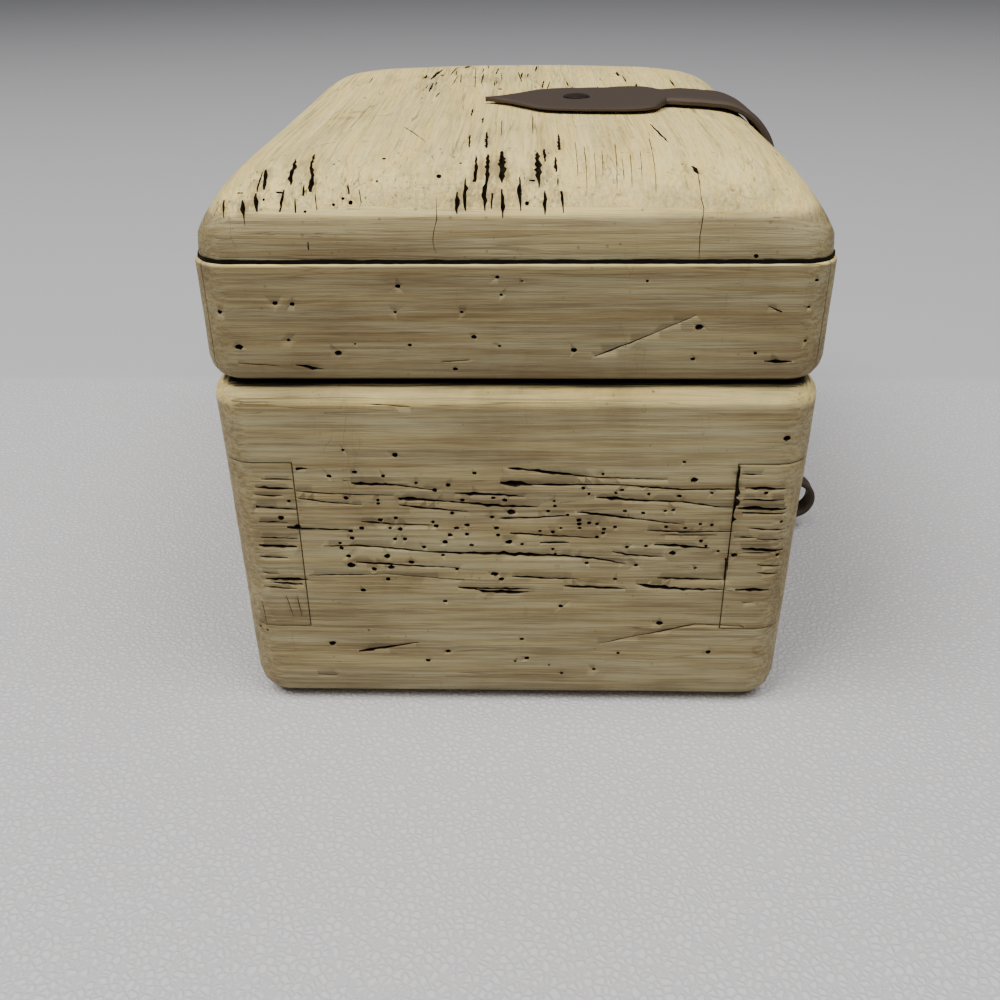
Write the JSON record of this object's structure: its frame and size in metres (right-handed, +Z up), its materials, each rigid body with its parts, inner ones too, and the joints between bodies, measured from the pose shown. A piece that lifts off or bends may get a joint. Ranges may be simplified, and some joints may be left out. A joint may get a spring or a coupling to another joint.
{
  "type": "cigar box",
  "caption": "Small lined cigar box in thick painted wood with a domed lid on butt hinges, closed by a forged strap hasp over a staple.",
  "frame": {"origin": "centre of the box's underside", "axes": "+X along the box's length, -Y out of the front with the hasp, +Z up"},
  "size_m": [0.203, 0.1889, 0.1523],
  "materials": {
    "painted_wood": "worn cream paint under a brown glaze",
    "bare_wood": "bare, stained",
    "cedar": "bare, sanded",
    "forged_iron": "forged, dark brown patina",
    "aged_brass": "aged",
    "dull_steel": "dull"
  },
  "bodies": {
    "box": {"front_board": "painted_wood", "back_board": "painted_wood", "left_end_board": "painted_wood", "right_end_board": "painted_wood", "bottom_board": "bare_wood", "cedar_floor": "cedar", "cedar_front": "cedar", "cedar_back": "cedar", "cedar_left": "cedar", "cedar_right": "cedar", "left_hinge_lower_leaf": "aged_brass", "right_hinge_lower_leaf": "aged_brass", "left_hinge_pin": "dull_steel", "right_hinge_pin": "dull_steel", "left_hinge_body_screw_1": "dull_steel", "left_hinge_body_screw_2": "dull_steel", "right_hinge_body_screw_1": "dull_steel", "right_hinge_body_screw_2": "dull_steel", "hasp_staple": "forged_iron"},
    "lid": {"lid_front_rail": "painted_wood", "lid_back_rail": "painted_wood", "lid_left_rail": "painted_wood", "lid_right_rail": "painted_wood", "lid_slab": "painted_wood", "lid_cedar_ceiling": "cedar", "lid_cedar_front": "cedar", "lid_cedar_back": "cedar", "lid_cedar_left": "cedar", "lid_cedar_right": "cedar", "left_hinge_upper_leaf": "aged_brass", "right_hinge_upper_leaf": "aged_brass", "left_hinge_lid_screw_1": "dull_steel", "left_hinge_lid_screw_2": "dull_steel", "right_hinge_lid_screw_1": "dull_steel", "right_hinge_lid_screw_2": "dull_steel", "hasp_plate": "forged_iron", "hasp_pin": "dull_steel", "leaf_nail": "forged_iron", "strap_nail_1": "forged_iron", "strap_nail_2": "forged_iron"},
    "hasp": {"hasp_drop": "forged_iron"}
  },
  "joints": [
    {"name": "lid_hinge", "type": "hinge", "parent": "box", "child": "lid", "pos_m": [0, 0.077, 0.09915], "axis": [-1, 0, 0], "range_deg": [0, 100]},
    {"name": "hasp_hinge", "type": "hinge", "parent": "lid", "child": "hasp", "pos_m": [0, -0.0795, 0.113], "axis": [-1, 0, 0], "range_deg": [0, 160]}
  ]
}
